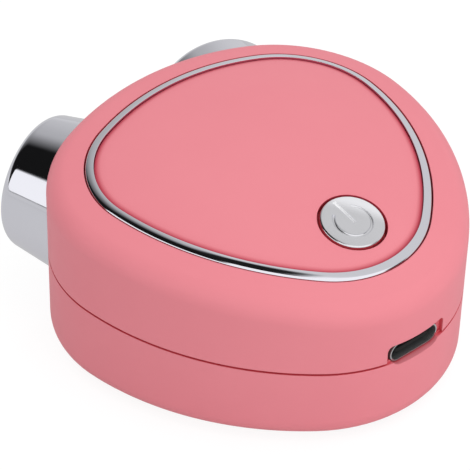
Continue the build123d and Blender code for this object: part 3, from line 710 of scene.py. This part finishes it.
def rollerProfile():
    # (radius, place along the axis) from the pole over the rounding and back inside
    tip, taper, rounding = roller["tip"], radians(roller["taper"]), roller["rounding"]
    openEnd, skin = roller["openEnd"], roller["skin"]
    ball = (roller["tipRadius"] ** 2 + roller["bulge"] ** 2) / (2 * roller["bulge"])
    middle = tip + roller["bulge"] - ball
    low, high = tip - 2 * rounding, tip + roller["bulge"]
    for _ in range(roller["halvings"]):
        along = (low + high) / 2
        if sqrt((along - middle) ** 2 + coneRadius(along, rounding) ** 2) > ball - rounding:
            high = along
        else:
            low = along
    radius = coneRadius(along, rounding)
    edge = atan2(radius, along - middle)
    profile = []
    for i in range(roller["bulgeSteps"]):
        angle = edge * i / roller["bulgeSteps"]
        profile.append((ball * sin(angle), middle + ball * cos(angle)))
    for i in range(roller["roundingSteps"] + 1):
        angle = edge + (pi / 2 - taper - edge) * i / roller["roundingSteps"]
        profile.append((radius + rounding * sin(angle), along + rounding * cos(angle)))
    start = profile[-1][1]
    for share in roller["wall"]:
        there = start + (openEnd - start) * share
        profile.append((coneRadius(there), there))
    lip, lipMiddle = roller["lip"]
    return profile + [
        (coneRadius(openEnd + lip), openEnd + lip * lipMiddle),
        (coneRadius(openEnd) - lip, openEnd),
        (coneRadius(openEnd, skin), openEnd),
        (coneRadius(tip - skin, skin), tip - skin),
        (0, tip - skin),
    ]


for side, hand in (("right", 1), ("left", -1)):
    point = Vector((hand * roller["point"][0], *roller["point"][1:]))
    axis = Vector((hand * roller["axis"][0], *roller["axis"][1:])).normalized()
    out = axis.cross(Vector((0, 0, 1))).normalized()
    points = [point + axis * along + out * radius for radius, along in rollerProfile()]
    piece = spun("roller_cone_" + side, points, point, axis, roller["steps"],
                 roller["sharpAngle"])
    piece.data.materials.append(chrome)
    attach(piece, "roller_" + side)
    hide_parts("roller_shell_" + side)
print("rollers made")

# camera
camera = {
    "place": (-0.191488, -0.220257, 0.235829),
    "turn": (52.743733, 0.811912, -40.931117),   # degrees
    "lens": 191.4894,
    "sensor": 36,
    "clip": (0.01, 20),
}
bpy.ops.object.camera_add(location=camera["place"],
                          rotation=[radians(a) for a in camera["turn"]])
eye = bpy.context.object
eye.data.lens = camera["lens"]
eye.data.sensor_width = camera["sensor"]
eye.data.clip_start, eye.data.clip_end = camera["clip"]
bpy.context.scene.camera = eye

# lamps and world
light = {
    "world": 0.82,
    "white": 1.0,               # of what is seen directly
    "aim": (0, 0, 0.01),
    "size": 0.5,
    "lamps": [                  # place, watts
        ((0.16, -0.20, 0.65), 1.38),
        ((-0.2, 0.45, 0.55), 0.6),
        ((-0.05, -0.62, 0.16), 1.0),
    ],
}
for place, watts in light["lamps"]:
    bpy.ops.object.light_add(type="AREA", location=place)
    lamp = bpy.context.object
    lamp.data.shape = "DISK"
    lamp.data.size = light["size"]
    lamp.data.energy = watts
    lamp.visible_glossy = False
    towardsAim = Vector(light["aim"]) - Vector(place)
    lamp.rotation_euler = towardsAim.to_track_quat("-Z", "Y").to_euler()


def seenDirectly(nodes, links):
    # 1 for what the camera, metal or glass sees, 0 for what lights the object
    rays = nodes.new("ShaderNodeLightPath").outputs
    seen = worked(nodes, links, "MAXIMUM", rays["Is Camera Ray"], rays["Is Glossy Ray"])
    return worked(nodes, links, "MAXIMUM", seen, rays["Is Transmission Ray"])


world = bpy.data.worlds.new("studio")
bpy.context.scene.world = world
world.use_nodes = True
nodes, links = world.node_tree.nodes, world.node_tree.links
nodes.clear()
output = nodes.new("ShaderNodeOutputWorld")
choice = nodes.new("ShaderNodeMixShader")
links.new(seenDirectly(nodes, links), choice.inputs[0])
for socket, strength in ((choice.inputs[1], light["world"]), (choice.inputs[2], light["white"])):
    background = nodes.new("ShaderNodeBackground")
    background.inputs["Strength"].default_value = strength
    links.new(background.outputs[0], socket)
links.new(choice.outputs[0], output.inputs["Surface"])

# a light tent that only polished metal sees: white, with grey and black cloths hung in it
tent = {
    "radius": 1.5,
    "faces": (48, 24),
    "white": 1.0,
    "bearing": -28,             # degrees from +Y, where the awning comes down
    # grey cloth on the right: where it begins and is full, shade
    "right": (0.0, 0.2, 0.66),
    # cloths of the awning: sine of the bearing where each one ends, softness, shade
    "awning": [(0.55, 0.5, 0.47), (0.13, 0.4, 0.17), (-0.12, 0.3, 0.008)],
    # the awning's left, back and lower edges, each with its softness
    "leftEdge": (-0.36, 0.03),
    "backEdge": (-0.27, 0.1),
    "foot": (0.11, 0.2),
    # its wing over the left wall: height of its foot, bearing of its end, each with its softness
    "wing": ((0.54, 0.05), (-112, 0.1)),
    # round dark cloths: bearing, height (degrees), reach, softness, shade
    "patches": [(145, 8, 11, 5, 0.03), (70, 86, 12, 7, 0.012)],
    # at the foot of the left wall: height and shade of a dark rail, then of the board under it
    "rail": ((0.096, 0.006), 0.22),
    "board": ((0.078, 0.006), 0.61),
    "wallEdge": (0.6, 0.1),     # where both end, and softness
}
bpy.ops.object.select_all(action="DESELECT")
bpy.ops.mesh.primitive_uv_sphere_add(segments=tent["faces"][0], ring_count=tent["faces"][1],
                                     radius=tent["radius"], location=(0, 0, 0))
dome = bpy.context.object
dome.name = "light_tent"
for ray in ("camera", "diffuse", "transmission", "volume_scatter", "shadow"):
    setattr(dome, "visible_" + ray, False)
material = bpy.data.materials.new("tent_cloth")
material.use_nodes = True
nodes, links = material.node_tree.nodes, material.node_tree.links
nodes.clear()
where = whereOn(nodes)
unit = vectorWorked(nodes, links, "NORMALIZE", where)


def towards(direction):
    # how far the tent's cloth lies in a direction, -1 to 1
    return vectorWorked(nodes, links, "DOT_PRODUCT", unit, direction)


def edged(value, edge, softness):
    # 1 past an edge, 0 before it
    return ranged(nodes, links, value, edge - softness / 2, edge + softness / 2, smooth=True)


def both(one, other):
    return worked(nodes, links, "MULTIPLY", one, other)


def either(one, other):
    return worked(nodes, links, "MAXIMUM", one, other)


def hang(before, mask, shade):
    # one cloth over what hangs there already
    over = nodes.new("ShaderNodeMix")
    links.new(mask, over.inputs["Factor"])
    if before is None:
        over.inputs["A"].default_value = tent["white"]
    else:
        links.new(before, over.inputs["A"])
    over.inputs["B"].default_value = shade
    return over.outputs["Result"]


up, down, leftwards = (0, 0, 1), (0, 0, -1), (-1, 0, 0)
bearing = radians(tent["bearing"])
outwards = (sin(bearing), cos(bearing), 0)
sideways = (cos(bearing), -sin(bearing), 0)
begins, full, cloth = tent["right"]
shade = hang(None, edged(towards(sideways), (begins + full) / 2, full - begins), cloth)
# sine of the bearing of each bit of cloth, negated
level = vectorWorked(nodes, links, "MULTIPLY", where, (-1, -1, 0))
westward = nodes.new("ShaderNodeSeparateXYZ")
links.new(vectorWorked(nodes, links, "NORMALIZE", level), westward.inputs[0])
wingFoot, (wingEnd, wingSoftness) = tent["wing"]
end = radians(wingEnd)
wing = both(edged(towards(up), *wingFoot),
            edged(towards((cos(end), -sin(end), 0)), 0, wingSoftness))
awning = both(either(edged(towards(sideways), *tent["leftEdge"]), wing),
              edged(towards(outwards), *tent["backEdge"]))
awning = both(awning, edged(towards(up), *tent["foot"]))
for edge, softness, cloth in tent["awning"]:
    shade = hang(shade, both(awning, edged(westward.outputs["X"], -edge, softness)), cloth)
for bearing, height, reach, softness, cloth in tent["patches"]:
    bearing, height, reach = radians(bearing), radians(height), radians(reach)
    middle = (sin(bearing) * cos(height), cos(bearing) * cos(height), sin(height))
    shade = hang(shade, edged(towards(middle), cos(reach), radians(softness) * sin(reach)), cloth)
for (height, softness), cloth in (tent["rail"], tent["board"]):
    wall = both(edged(towards(down), -height, softness),
                edged(towards(leftwards), *tent["wallEdge"]))
    shade = hang(shade, wall, cloth)
glow = nodes.new("ShaderNodeEmission")
links.new(shade, glow.inputs["Strength"])
output = nodes.new("ShaderNodeOutputMaterial")
links.new(glow.outputs[0], output.inputs["Surface"])
dome.data.materials.append(material)

# floor
ground = {
    "size": 6,
    "shade": 0.8,               # as it lights the object
    "seenShade": 0.14,          # as the camera and metal see it, under its own glow
    "glow": 0.9,                # to the camera
    "metalGlow": 0.47,          # to polished metal
    "roughness": 0.9,
    "clearance": 0.03 * mm,     # under the feet of the case
}
bpy.ops.mesh.primitive_plane_add(size=ground["size"], location=(0, 0, -ground["clearance"]))
floor = bpy.context.object
floor.name = "floor"
material, nodes, links, shader = newMaterial("pale_floor")
shader.inputs["Roughness"].default_value = ground["roughness"]
shader.inputs["Specular IOR Level"].default_value = 0.0
lighting = (ground["shade"],) * 3 + (1,)
seen = (ground["seenShade"],) * 3 + (1,)
links.new(mixed(nodes, links, seenDirectly(nodes, links), lighting, seen),
          shader.inputs["Base Color"])
rays = nodes.new("ShaderNodeLightPath").outputs
glow = worked(nodes, links, "MULTIPLY", rays["Is Camera Ray"], ground["glow"])
glow = worked(nodes, links, "MULTIPLY_ADD", rays["Is Glossy Ray"], ground["metalGlow"], glow)
shader.inputs["Emission Color"].default_value = (1, 1, 1, 1)
links.new(glow, shader.inputs["Emission Strength"])
floor.data.materials.append(material)

bpy.context.scene.view_settings.view_transform = "Standard"
print("camera, floor and light made")
